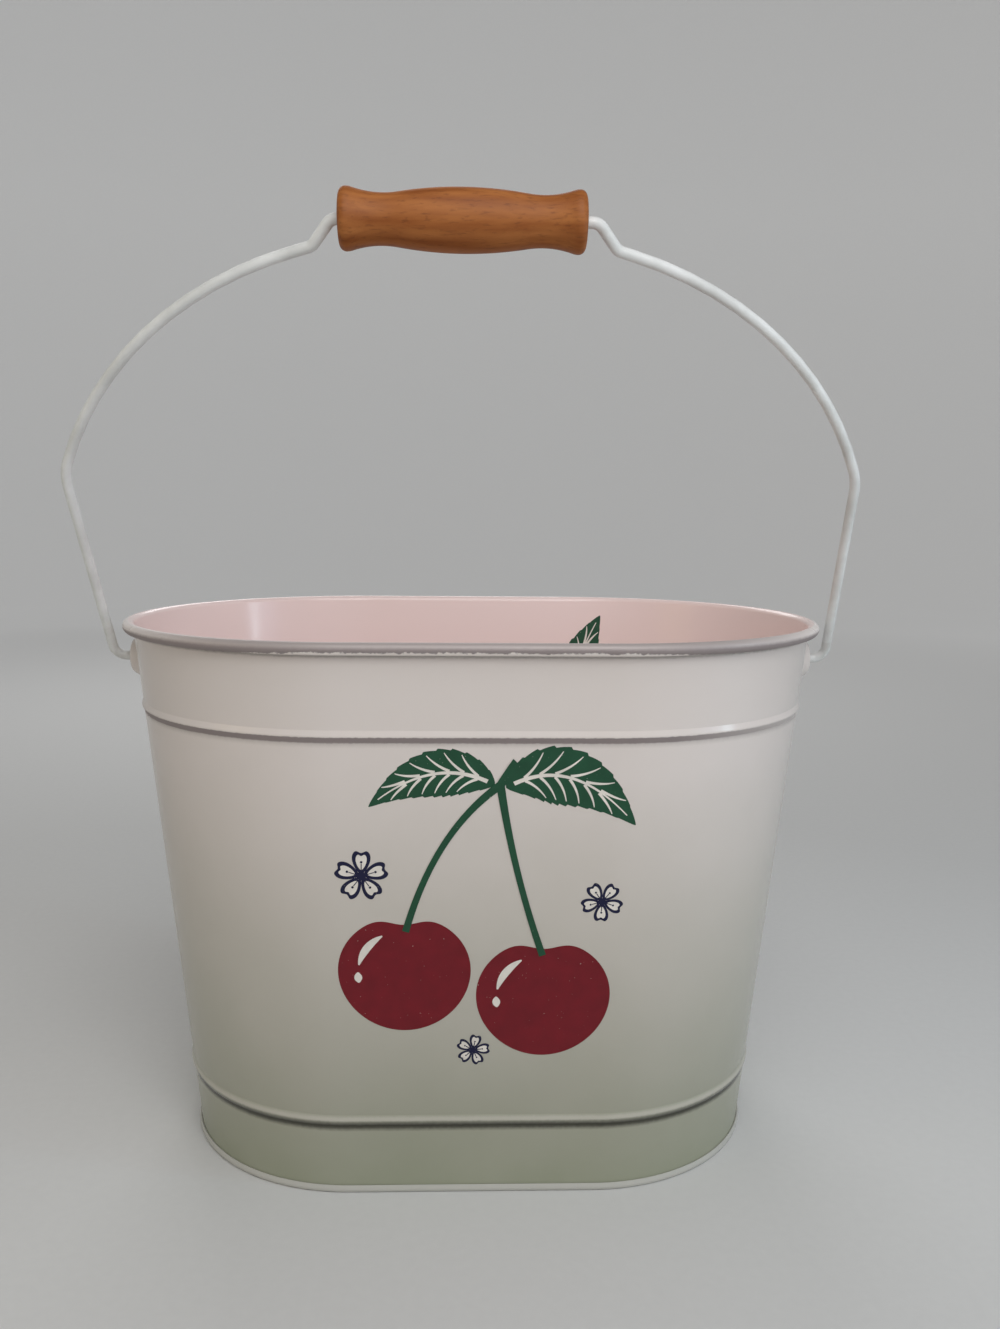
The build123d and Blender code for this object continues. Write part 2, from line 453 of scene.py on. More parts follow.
bpy.ops.object.select_all(action="DESELECT")
head_start = on_bail(head_thickness - head_face, 0)
bpy.ops.mesh.primitive_circle_add(
    vertices=24, radius=head_radius, fill_type="NGON", location=head_start, rotation=(0, -pi / 2, 0)
)
bail = bpy.context.object
bail.name = "bail_rod"
bail.data.name = bail.name
bpy.ops.object.transform_apply()
bpy.ops.object.mode_set(mode="EDIT")
extrude_by((-head_thickness, 0, 0))
bpy.ops.mesh.inset(thickness=head_radius - wire_radius)
here = wire_corners[0]
bends = half_bends + half_bends[::-1]
for before, corner, after, bend in zip(wire_corners, wire_corners[1:], wire_corners[2:], bends):
    along = (corner - before).normalized()
    onward = (after - corner).normalized()
    turn = along.angle(onward)
    tangent = corner - along * bend * tan(turn / 2)
    extrude_by(tangent - here)
    axis = along.cross(onward).normalized()
    centre = tangent + axis.cross(along) * bend
    steps = max(fewest_bend_steps, round(turn / bend_step))
    bpy.ops.mesh.spin(steps=steps, angle=turn, center=centre, axis=-axis)
    here = corner + onward * bend * tan(turn / 2)
extrude_by(wire_corners[-1] - here)
bpy.ops.mesh.extrude_region_move()
head_scale = head_radius / wire_radius
bpy.ops.transform.resize(value=(1, head_scale, head_scale), center_override=wire_corners[-1])
extrude_by((-head_thickness, 0, 0))
weld()
bpy.ops.object.mode_set(mode="OBJECT")
smooth(bail)
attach(bail, "bail")
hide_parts("bail_wire")

# %% [markdown]
# ## Grip
#
# The grip is turned on a lathe from one piece of wood and bored through, and a lathe is a spin: its
# outline is drawn as a closed loop above the axis, from the bore out over the rounded collars, the necks
# and the belly, and turned once round. Two points on each end face hold its shading flat.

# %% Grip
grip_belly_radius = 10 * MM
grip_neck_radius = 7.95 * MM
grip_collar_radius = 9.8 * MM
grip_neck_inset = 13.6 * MM
grip_belly_hollow = 5.1 * MM
grip_collar_hollow = 9.6 * MM
grip_end_round = 2.2 * MM
grip_mouth = 0.8 * MM
grip_clearance = 0.3 * MM
held_face_shares = (0.15, 0.9)
grip_end = grip_length / 2
grip_bore = wire_radius + grip_clearance
grip_centre = on_bail(-bail_sway - grip_slide, grip_reach)


def sway_line(start, end, turn_reach, steps):
    """Points after the first on an S between two (along, radius) places, level at both.

    It is made of two parabolas, which meet this reach along from the start.
    """
    run = end - start
    turn = turn_reach / run.x
    line = []
    for step in range(1, steps + 1):
        share = step / steps
        rise = share**2 / turn if share < turn else 1 - (1 - share) ** 2 / (1 - turn)
        line.append(start + Vector((run.x * share, run.y * rise)))
    return line


crest = Vector((grip_end - grip_end_round, grip_collar_radius))
neck = Vector((grip_end - grip_neck_inset, grip_neck_radius))
belly = Vector((0, grip_belly_radius))
face_corner = Vector((grip_end, grip_collar_radius - grip_end_round))
mouth = Vector((grip_end, grip_bore + grip_mouth))
bore_end = Vector((grip_end - grip_mouth, grip_bore))
half_outline = [belly] + sway_line(belly, neck, neck.x - grip_belly_hollow, steps=20)
half_outline += sway_line(neck, crest, grip_collar_hollow, steps=16)
half_outline += arc(Vector((crest.x, face_corner.y)), grip_end_round, pi / 2, -pi / 2, steps=8)
half_outline += [face_corner.lerp(mouth, share) for share in held_face_shares]
half_outline += [mouth, bore_end]
other_half = [Vector((-along, radius)) for along, radius in reversed(half_outline)]

grip = new_piece("turned_grip")
outline = half_outline + other_half
draw_line([grip_centre + Vector((along, 0, radius)) for along, radius in outline])
bpy.ops.mesh.spin(steps=64, angle=2 * pi, center=grip_centre, axis=(1, 0, 0))
weld()
bpy.ops.object.mode_set(mode="OBJECT")
smooth(grip)
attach(grip, "grip")
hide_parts("grip")

# %% [markdown]
# ## Print: strokes
#
# The front carries a fruit sprig in flat screen-printed inks, and the inside a pair of leaves. Each ink
# is a film of its own, so it is modelled as one: outlines are worked out by small formulas, in
# millimetres across and above the floor, drawn by extruding a vertex, and filled. Filled curve objects
# would do as well, but filled outlines stay in one mesh per film. A stroke is a ribbon along a curve.

# %% Strokes
def along_curve(start, bend, end, share):
    """Point and sideways direction on a quadratic curve that leaves start and reaches end past bend."""
    start, bend, end = Vector(start), Vector(bend), Vector(end)
    point = start * (1 - share) ** 2 + bend * 2 * share * (1 - share) + end * share**2
    heading = ((bend - start) * (1 - share) + (end - bend) * share).normalized()
    return point, Vector((-heading.y, heading.x))


def ribbon(curve, half_width, steps):
    """Outline of a strip along a curve whose half width is a function of the share of its length."""
    sides = ([], [])
    for step in range(steps + 1):
        share = step / steps
        point, sideways = along_curve(*curve, share)
        sides[0].append(point + sideways * half_width(share))
        sides[1].append(point - sideways * half_width(share))
    return sides[0] + sides[1][::-1]


def pen_stroke(start, bend, end, widths, steps=20):
    """A stroke along a curve, with half widths that lead from the first past the second to the third."""
    first, middle, last = widths

    def half_width(share):
        return first * (1 - share) ** 2 + middle * 2 * share * (1 - share) + last * share**2

    return ribbon((start, bend, end), half_width, steps)


def stroke_through(start, middle, end, widths):
    """A stroke that passes through its middle point half way."""
    return pen_stroke(start, middle * 2 - (start + end) / 2, end, widths)


dash = pen_stroke((0, 0), (1, 0), (2, 0), widths=(1, 1, 1))
print("a stroke's outline has", len(dash), "points")

# %% [markdown]
# ## Print: leaves
#
# A leaf is a ribbon too, widest nearer its stalk and saw-toothed along its edge. Its midrib and side
# veins are strokes in a paler ink.

# %% Leaves
leaf_fullness = 0.8
leaf_curve = 0.9
leaf_tip = 0.15
leaf_teeth = 11
steps_per_tooth = 8
tooth_depth = 0.09
midrib_start = 0.06
midrib_end = 0.93
vein_pairs = 6
first_vein = 0.14
vein_spacing = 0.115
vein_sweep = 0.15
vein_reach = 0.84
vein_gap = 0.6


def leaf_width(half_width, share):
    """Half width of a leaf at a share of its length, fullest nearer its stalk."""
    return half_width * sin(pi * min(share, 1) ** leaf_fullness) ** leaf_curve + leaf_tip


def leaf_outline(leaf):
    """A leaf with a saw-toothed edge."""

    def toothed_width(share):
        tooth = (share * leaf_teeth) % 1 - 0.5
        return leaf_width(leaf["half_width"], share) * (1 + tooth_depth * tooth)

    return ribbon(leaf["midrib"], toothed_width, leaf_teeth * steps_per_tooth)


def leaf_midrib(leaf):
    """The midrib as a stroke that ends short of the leaf's tip."""
    shares = (midrib_start, (midrib_start + midrib_end) / 2, midrib_end)
    points = [along_curve(*leaf["midrib"], share)[0] for share in shares]
    return stroke_through(*points, widths=(0.75, 0.55, 0.2))


def leaf_side_veins(leaf):
    """Pairs of side veins, as strokes from beside the midrib that end short of the leaf's edge."""
    veins = []
    for number in range(vein_pairs):
        share = first_vein + vein_spacing * number
        middle, aside = along_curve(*leaf["midrib"], share)
        end, sideways = along_curve(*leaf["midrib"], share + vein_sweep)
        for side in (-1, 1):
            root = middle + aside * side * vein_gap
            edge = end + sideways * side * vein_reach * leaf_width(leaf["half_width"], share + vein_sweep)
            bend = root.lerp(edge, 0.5).lerp(end, 0.25)
            veins.append(pen_stroke(root, bend, edge, widths=(0.5, 0.45, 0.15), steps=10))
    return veins


print("a leaf has", leaf_teeth, "teeth on each side and", vein_pairs, "pairs of veins")

# %% [markdown]
# ## Print: fruit and blossoms
#
# A fruit is a circle with fuller shoulders and a dip at its top, and a petal is one with a narrow root
# and a notched end. The dip and the notch are bell curves, which leave no corner where they start.

# %% Fruit and blossoms
fruit_points = 120
fruit_shoulder = 0.05
fruit_height = 0.95
fruit_dip = 0.15
fruit_dip_spread = 0.3
glint_arcs = ((118, 168), (178, 192))
glint_place = 0.7
petal_points = 40
petal_notch = 0.16
petal_notch_spread = 0.35


def fruit_outline(centre, radius):
    """A round fruit, fuller at the shoulders, with a dip at the top for its stalk."""
    outline = []
    for step in range(fruit_points):
        angle = 2 * pi * step / fruit_points
        dip = fruit_dip * exp(-(((angle - pi / 2) / fruit_dip_spread) ** 2))
        across = cos(angle) * (1 + fruit_shoulder * sin(angle))
        outline.append(Vector(centre) + Vector((across, fruit_height * sin(angle) - dip)) * radius)
    return outline


def glint_strokes(centre, radius):
    """The light that shines on a fruit: a long crescent and a short one below it."""
    strokes = []
    for first, last in glint_arcs:
        angles = [radians(first), radians((first + last) / 2), radians(last)]
        rays = [Vector((cos(angle), sin(angle))) * radius * glint_place for angle in angles]
        places = [Vector(centre) + ray for ray in rays]
        strokes.append(stroke_through(*places, widths=(0.25, 2.6, 0.25)))
    return strokes


def petal_outline(centre, turn, length, half_width, start):
    """One petal of a blossom: narrow at the middle, broad outside, notched at its end."""
    outline = []
    for step in range(petal_points):
        angle = 2 * pi * step / petal_points
        share = (1 - cos(angle)) / 2
        notch = petal_notch * exp(-(((angle - pi) / petal_notch_spread) ** 2))
        along = start + length * (share - notch)
        aside = half_width * sin(angle) * (0.5 + 0.5 * share)
        across = along * cos(turn) - aside * sin(turn)
        above = along * sin(turn) + aside * cos(turn)
        outline.append(Vector(centre) + Vector((across, above)))
    return outline


def dot_outline(centre, radius):
    """A small round dot."""
    return arc(Vector(centre), radius, 0, 2 * pi, steps=24)


print("a fruit's outline has", fruit_points, "points and a petal's", petal_points)

# %% [markdown]
# ## Print: the sprig
#
# A pair of fruit hangs from a fork with a leaf to each side, and three blossoms lie round it. Places are
# millimetres across from the middle of the front, and above the floor. The parts of a blossom are shares
# of its radius.

# %% Sprig layout
fork = (9, 163)
fruits = [((-25, 91), 24), ((25.5, 81), 24.5)]
stalks = [
    (fork, (-14, 146), (-24.5, 107.5), (1.5, 0.9, 1.3)),
    (fork, (14, 130), (25, 98), (1.5, 0.9, 1.3)),
    ((15, 171), (12, 168), fork, (2.3, 1.5, 1.5)),
]
leaves = [
    {"midrib": ((11, 162), (34, 176), (57, 148)), "half_width": 10.5},
    {"midrib": ((7, 163), (-14, 175), (-37, 155)), "half_width": 8.5},
]
inner_leaves = [
    {"midrib": ((44, 152), (49, 180), (63, 205)), "half_width": 9.5},
    {"midrib": ((38, 154), (28, 167), (24, 186)), "half_width": 7},
]
# each blossom's centre, radius and turn
blossoms = [((-40, 129), 10, 0.3), ((46, 119), 8, 0.9), ((0, 60), 6.5, 0.1)]
petals_each = 5
navy_petal = {"length": 0.92, "half_width": 0.42, "start": 0.1}
white_petal = {"length": 0.62, "half_width": 0.25, "start": 0.24}
stamen_places = (0.24, 0.35, 0.47)
stamen_widths = (0.16, 0.16, 0.16)
anther_place = 0.53
anther_size = 0.045
eye_size = 0.17

navy_petals = []
white_petals = []
stamens = []
for centre, radius, first_turn in blossoms:
    for number in range(petals_each):
        turn = first_turn + number * 2 * pi / petals_each
        for petals, petal in ((navy_petals, navy_petal), (white_petals, white_petal)):
            sizes = {size: share * radius for size, share in petal.items()}
            petals.append(petal_outline(centre, turn, **sizes))
        ray = Vector((cos(turn), sin(turn))) * radius
        root, bend, end = (Vector(centre) + ray * share for share in stamen_places)
        stamens.append(pen_stroke(root, bend, end, stamen_widths, steps=4))
        stamens.append(dot_outline(Vector(centre) + ray * anther_place, radius * anther_size))
stamens += [dot_outline(centre, radius * eye_size) for centre, radius, _ in blossoms]
print(len(fruits), "fruit,", len(leaves), "leaves and", len(blossoms), "blossoms on the front")

# %% [markdown]
# ## Print: the ink films
#
# Shapes are drawn upright in front of the wall, or inside the bucket, and Shrinkwrap throws them
# backwards onto it. The round ends start half way out, so shapes that reach past the straight side are
# first cut into upright strips, which can follow the curve. Films that would lie in each other are a
# layer apart: an ink that lies on another sits higher, and so does a stroke that crosses its neighbour.

# %% Ink films
ink_film = 0.03 * MM
film_step = 0.04 * MM
strip = 3 * MM
strips_past_straight = 6
front_drawing_depth = -150 * MM
inside_drawing_depth = 0
first_stalk_layer = 3


def ink_shape(outline, depth):
    """Draw one closed outline, given in millimetres, at a depth in front of the wall, and fill it."""
    bpy.ops.mesh.primitive_plane_add(size=MM)
    bpy.ops.mesh.merge(type="CENTER")
    draw_line([Vector((across * MM, depth, height * MM)) for across, height in outline])
    bpy.ops.mesh.edge_face_add()


def ink_layer(name, outlines, layer, depth=front_drawing_depth):
    """One film of ink: its shapes, drawn, cut into strips, laid on the wall and thickened."""
    piece = new_piece(name)
    bpy.ops.mesh.delete(type="VERT")
    for outline in outlines:
        ink_shape(outline, depth)
    for side in (-1, 1):
        for number in range(strips_past_straight):
            bpy.ops.mesh.select_all(action="SELECT")
            across = side * (half_straight + number * strip)
            bpy.ops.mesh.bisect(plane_co=(across, 0, 0), plane_no=(1, 0, 0))
    bpy.ops.object.mode_set(mode="OBJECT")
    bpy.ops.object.modifier_add(type="SHRINKWRAP")
    wrap = piece.modifiers[-1]
    wrap.target = wall
    wrap.wrap_method = "PROJECT"
    wrap.use_project_y = True
    bpy.ops.object.modifier_apply(modifier=wrap.name)
    bpy.ops.object.mode_set(mode="EDIT")
    bpy.ops.mesh.select_all(action="SELECT")
    bpy.ops.transform.translate(value=(0, -ink_film - layer * film_step, 0))
    thicken(piece, ink_film)
    bpy.ops.object.mode_set(mode="EDIT")
    bpy.ops.mesh.select_all(action="SELECT")
    bpy.ops.mesh.normals_make_consistent(inside=False)
    bpy.ops.object.mode_set(mode="OBJECT")
    smooth(piece)
    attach(piece, "bucket")
    return piece


veins = [vein for leaf in leaves for vein in leaf_side_veins(leaf)]
inner_veins = [vein for leaf in inner_leaves for vein in leaf_side_veins(leaf)]
inner_midribs = [leaf_midrib(leaf) for leaf in inner_leaves]
inner_outlines = [leaf_outline(leaf) for leaf in inner_leaves]
glints = [glint for fruit in fruits for glint in glint_strokes(*fruit)]
red_prints = [ink_layer("print_fruit", [fruit_outline(*fruit) for fruit in fruits], layer=0)]
green_prints = [
    ink_layer("print_leaves", [leaf_outline(leaf) for leaf in leaves], layer=0),
    ink_layer("print_inner_leaves", inner_outlines, layer=0, depth=inside_drawing_depth),
]
for number, stalk in enumerate(stalks):
    layer = first_stalk_layer + number
    green_prints.append(ink_layer(f"print_stalk_{number + 1}", [pen_stroke(*stalk)], layer))
navy_prints = [
    ink_layer("print_petals", navy_petals, layer=0),
    ink_layer("print_stamens", stamens, layer=2),
]
white_prints = [
    ink_layer("print_whites", veins + glints + white_petals, layer=1),
    ink_layer("print_midribs", [leaf_midrib(leaf) for leaf in leaves], layer=2),
    ink_layer("print_inner_veins", inner_veins, layer=1, depth=inside_drawing_depth),
    ink_layer("print_inner_midribs", inner_midribs, layer=2, depth=inside_drawing_depth),
]

# %% [markdown]
# ## Materials: a few small tools
#
# Colours are picked as sRGB hex codes, which is how a screen shows them, and shaders want them linear.
# One function adds a node, sets its values and makes its links, so that each material reads as a list.
# Every pattern is placed by Object coordinates, which stay on the piece when it moves.

# %% Material tools
# most of a noise lies between these values, so a Map Range that starts from them uses the whole of it
noise_span = {1: 0.3, 2: 0.7}


def hex_colour(code):
    """Linear RGBA of an sRGB hex code."""
    shares = [int(code[place : place + 2], 16) / 255 for place in (1, 3, 5)]
    linear = [share / 12.92 if share <= 0.04045 else ((share + 0.055) / 1.055) ** 2.4 for share in shares]
    return linear + [1]


def add_node(tree, kind, inputs=None, **settings):
    """A shader node of a kind, with settings, and inputs: values, sockets or nodes' first outputs."""
    node = tree.nodes.new("ShaderNode" + kind)
    for name, value in settings.items():
        setattr(node, name, value)
    for socket, value in (inputs or {}).items():
        if isinstance(value, bpy.types.Node):
            value = value.outputs[0]
        if isinstance(value, bpy.types.NodeSocket):
            tree.links.new(value, node.inputs[socket])
        else:
            node.inputs[socket].default_value = value
    return node


def new_material(name):
    """A new material, its node tree emptied down to the output, and its Object coordinates."""
    material = bpy.data.materials.new(name)
    material.use_nodes = True
    tree = material.node_tree
    tree.nodes.remove(tree.nodes["Principled BSDF"])
    return material, tree, add_node(tree, "TexCoord").outputs["Object"]


def close_material(material, inputs):
    """Link a Principled shader with these inputs to the output, and give the finished material."""
    tree = material.node_tree
    shader = add_node(tree, "BsdfPrincipled", inputs)
    tree.links.new(shader.outputs[0], tree.nodes["Material Output"].inputs["Surface"])
    print(material.name, len(tree.nodes), "nodes")
    return material


print("middle grey #808080 is", round(hex_colour("#808080")[0], 3), "in linear light")

# %% [markdown]
# ## Enamel: what follows height
#
# The body is sprayed with a cream satin enamel. Painted shade makes it darker and greener near the floor,
# and dark in the corners below the beads and the roll and at the foot. Painted highlights make the lower
# bead's crest and the roll paler; along the roll's lip that is partly the white paint's own edge.
# It could be painted by hand as vertex colours, but a ramp over the height in Object coordinates stays
# sharp at any mesh size. Each stop pairs a height in millimetres with an amount.

# %% Amounts by height
no_stops = [(0, 0), (1, 0)]
# painted shade: dark lines under the beads and the roll, and a little at the foot
ledge_shade_stops = [(0, 0.15), (4, 0), (26, 0), (27.8, 1), (28.6, 1), (29.7, 0.55), (30.7, 0)]
ledge_shade_stops += [(176.4, 0), (177.9, 0.25), (178.6, 0), (207.9, 0), (208.9, 0.5), (209.6, 0)]
# painted highlights: the lower bead's crest, and the roll's lip, which is partly the white paint's own
# edge
painted_highlight_stops = [(30.2, 0), (30.9, 0.22), (31.7, 0.22), (32.3, 0), (209, 0), (209.3, 1)]


def height_ramp(tree, level, stops):
    """An amount that follows height, from pairs of a height in millimetres and an amount."""
    top = rim_height + roll_radius
    share = add_node(tree, "Math", {0: level, 1: top}, operation="DIVIDE")
    ramp = add_node(tree, "ValToRGB", {0: share})
    elements = ramp.color_ramp.elements
    while len(elements) < len(stops):
        elements.new(0.5)
    for element, (height, amount) in zip(elements, stops):
        element.position = height * MM / top
        element.color = (amount, amount, amount, 1)
    return ramp


print(len(ledge_shade_stops), "stops of dirt and", len(painted_highlight_stops), "of pale enamel")

# %% [markdown]
# ## Enamel: worn to metal
#
# Along the rim and under the upper bead the enamel gives way to silver-grey metal. On the roll it starts
# at a ragged edge, lower at the round ends than along the straight sides, and fades out below the crest.
# Along the front the crest is rubbed too, but a haze of paint is left on it; this part-bare metal is
# painted shade on the lit crest. Under the bead the metal is an even line, and towards the right end it
# gives way to enamel, a painted highlight where the window lights that end.

# %% Bare metal
# between these distances across, wear changes from the straight sides' to the round ends'
straight_wear_end = 55 * MM
round_wear_start = 90 * MM
lower_fade = 0.4 * MM
crest_fade = -1.2 * MM
# the haze, part-bare metal that is painted shade on the lit crest, is strongest along the front, and ends
# this far in front of the middle
crest_haze_shade = 0.8
haze_shade_front = -88 * MM
haze_shade_back = -30 * MM
# the worn line under the bead, to each side of its middle, and how it thins across towards the right end,
# a painted highlight where the window lights it
flank_reach = 0.95 * MM
flank_fade_reach = 1.25 * MM
flank_lit_fade_start = 70 * MM
flank_lit_fade_end = 125 * MM
flank_wear_where_lit = 0.3


def bare_metal(tree, place, ragged, uneven, bare_from, bare_to, worn_flank):
    """How far metal shows, from 0 to 1: place is split in X, Y and Z, ragged and uneven are heights."""
    across = place.outputs["X"]
    distance = add_node(tree, "Math", {0: across}, operation="ABSOLUTE")
    # along the front the crest is part bare: painted shade on its lit top
    front = {0: place.outputs["Y"], 1: haze_shade_front, 2: haze_shade_back, 3: crest_haze_shade, 4: 0}
    haze_shade = add_node(tree, "MapRange", front)
    limits = []
    edges = ((bare_from, ragged, lower_fade, 0), (bare_to, uneven, crest_fade, haze_shade))
    for (at_end, at_side), level, fade, least in edges:
        ends = {0: distance, 1: straight_wear_end, 2: round_wear_start, 3: at_side, 4: at_end}
        edge = add_node(tree, "MapRange", ends)
        beyond = add_node(tree, "Math", {0: level, 1: edge}, operation="SUBTRACT")
        limits.append(add_node(tree, "MapRange", {0: beyond, 1: 0, 2: fade, 3: least}))
    bare = add_node(tree, "Math", {0: limits[0], 1: limits[1]}, operation="MINIMUM")
    if worn_flank:
        beside = add_node(tree, "Math", {0: uneven, 1: worn_flank}, operation="SUBTRACT")
        reach = add_node(tree, "Math", {0: beside}, operation="ABSOLUTE")
        # less metal shows towards the right end: a painted highlight where the window lights it
        lit_fade_range = {0: across, 1: flank_lit_fade_start, 2: flank_lit_fade_end, 3: 1, 4: flank_wear_where_lit}
        wear_less_where_lit = add_node(tree, "MapRange", lit_fade_range)
        flank_range = {0: reach, 1: flank_reach, 2: flank_fade_reach, 3: wear_less_where_lit, 4: 0}
        flank = add_node(tree, "MapRange", flank_range)
        bare = add_node(tree, "Math", {0: bare, 1: flank}, operation="MAXIMUM")
    return bare


print("metal fades in over", lower_fade / MM, "mm and out over", -crest_fade / MM, "mm")

# %% [markdown]
# ## Enamel: its coats and skin
#
# Satin enamel gives the eye soft broad highlights on a fine orange-peel skin. Its colour is laid in
# coats: a low tone that is painted shade, a high tone that comes with height, painted highlights, painted
# shade under the ledges, and metal. Metal is only part bare under a thin haze of paint, so it is rough
# and no mirror.

# %% Enamel
silver_code = "#998e8d"
painted_shade_code = "#35342a"
metal_share = 0.25
metal_roughness = 0.6
grit = 1.7 * MM
nick = 0.12 * MM
mottle_size = 40 * MM
tone_blur = 6 * MM
# below this height painted shade makes the enamel darker and greener towards the floor
tone_top = 0.8 * rim_height
# fine orange peel, drawn a little coarse so that it shows
peel_size = 0.9 * MM
peel_depth = 0.03 * MM
wave_depth = 0.5 * MM


def enamel(
    name, tones, bare_from, bare_to, chip, worn_flank=None, shade_stops=no_stops, highlight_stops=no_stops
):
    """Satin enamel, worn to metal on the rim, with painted shade and painted highlights.

    tones are the colours near the floor, where painted shade darkens them, high on the wall, and at the
    painted highlights. bare_from and bare_to hold the heights where metal starts and ends, each at the
    round ends and along the straight sides. chip is how ragged it starts, worn_flank is the middle height
    of a bead's bare flank, and the last two pair heights with amounts of painted shade and painted
    highlight.
    """
    material, tree, coords = new_material(name)
    place = add_node(tree, "SeparateXYZ", {0: coords})
    height = place.outputs["Z"]

    # wear has an edge that follows the grit: ragged where it starts, almost even elsewhere
    grains = add_node(tree, "TexNoise", {"Vector": coords, "Scale": 1 / grit, "Detail": 4})
    levels = []
    for swing in (chip, nick):
        chips = add_node(tree, "MapRange", {0: grains, 3: -swing, 4: swing} | noise_span)
        levels.append(add_node(tree, "Math", {0: height, 1: chips}, operation="ADD"))
    ragged, uneven = levels
    bare = bare_metal(tree, place, ragged, uneven, bare_from, bare_to, worn_flank)

    # colour: the height where a tone comes is blurred by a broad mottle
    # paler where painted highlights lie, darker where painted shade lies under the ledges
    painted_highlight = height_ramp(tree, uneven, highlight_stops)
    darkening = height_ramp(tree, uneven, shade_stops)
    mottle = add_node(tree, "TexNoise", {"Vector": coords, "Scale": 1 / mottle_size, "Detail": 4})
    blur = add_node(tree, "MapRange", {0: mottle, 3: -tone_blur, 4: tone_blur} | noise_span)
    tone_height = add_node(tree, "Math", {0: height, 1: blur}, operation="ADD")
    tone = add_node(tree, "MapRange", {0: tone_height, 1: 0, 2: tone_top})
    # the low tone is painted shade near the floor
    shaded_low_code, high_code, highlight_code = tones
    colour = hex_colour(shaded_low_code)
    for amount, code in ((tone, high_code), (painted_highlight, highlight_code), (darkening, painted_shade_code), (bare, silver_code)):
        mix = {0: amount, 6: colour, 7: hex_colour(code)}
        colour = add_node(tree, "Mix", mix, data_type="RGBA").outputs[2]

    # gloss, and a skin of orange peel over a slow waviness
    metallic = add_node(tree, "Math", {0: bare, 1: metal_share}, operation="MULTIPLY")
    gloss = add_node(tree, "MapRange", {0: mottle, 3: 0.16, 4: 0.22} | noise_span)
    sheen = add_node(tree, "Mix", {0: bare, 2: gloss, 3: metal_roughness})
    peel = add_node(tree, "TexNoise", {"Vector": coords, "Scale": 1 / peel_size, "Detail": 2})
    wavy = add_node(tree, "Bump", {"Height": mottle, "Strength": 0.15, "Distance": wave_depth})
    dimples = {"Height": peel, "Strength": 0.2, "Distance": peel_depth, "Normal": wavy}
    skin = add_node(tree, "Bump", dimples)
    return close_material(
        material, {"Base Color": colour, "Metallic": metallic, "Roughness": sheen, "Normal": skin}
    )


outside_enamel = enamel(
    "cream_satin_enamel",
    ("#969985", "#ddd4cf", "#f4ebe6"),
    bare_from=(208.6 * MM, 210.2 * MM),
    bare_to=(212.3 * MM, 212.5 * MM),
    chip=0.45 * MM,
    worn_flank=179.1 * MM,
    shade_stops=ledge_shade_stops,
    highlight_stops=painted_highlight_stops,
)
crest_wear = {"bare_from": (212.5 * MM, 212.6 * MM), "bare_to": (212 * MM, 212 * MM), "chip": nick}
# painted light: the inside's copy is paler and pinker than the outside's
lit_inside_enamel = enamel("lit_inside_satin_enamel", ("#dac6c0", "#f6dfdb", "#f6dfdb"), **crest_wear)
# the fold's paler enamel is a painted highlight on the ledge that faces up
hem_highlight_enamel = enamel("hem_painted_highlight_enamel", ("#bdbcb5", "#ddd4cf", "#ddd4cf"), **crest_wear)

# %% [markdown]
# The inside is a paler, pinker copy of the enamel, painted light for the brighter, pinker light inside,
# so the wall and the pan have two slots. The wall's inner faces are picked by their normals, which point
# towards the middle of the oval, and the pan's floor by faces that look up. The pan's fold takes a paler
# enamel, a painted highlight on the ledge that faces up.

# %% Enamel on the sheet pieces
least_upward = 0.1
for piece in (lap, left_ear, right_ear):
    piece.data.materials.append(outside_enamel)
for piece, shell_enamel in ((wall, outside_enamel), (pan, hem_highlight_enamel)):
    piece.data.materials.append(shell_enamel)
    piece.data.materials.append(lit_inside_enamel)
for polygon in wall.data.polygons:
    x, y, _ = polygon.center
    outward = Vector((x - max(-half_straight, min(half_straight, x)), y, 0))
    polygon.material_index = 1 if polygon.normal.dot(outward) < 0 else 0
for polygon in pan.data.polygons:
    looks_up = polygon.center.z > floor_height and polygon.normal.z > least_upward
    polygon.material_index = 1 if looks_up else 0
print(wall.name, "and", pan.name, "have two enamels each")

# %% [markdown]
# ## Painted wire
#
# The bail is dipped in paint, which runs a little before it dries. That gives the eye a thicker, softer
# and cooler white than the body's, with slow lumps, and brown hand dirt low on the legs.

# %% Bail paint
patch_size = 14 * MM
smear_size = 5 * MM
run_size = 6 * MM
run_depth = 0.1 * MM
hand_dirt_full = 195 * MM
hand_dirt_end = 222 * MM


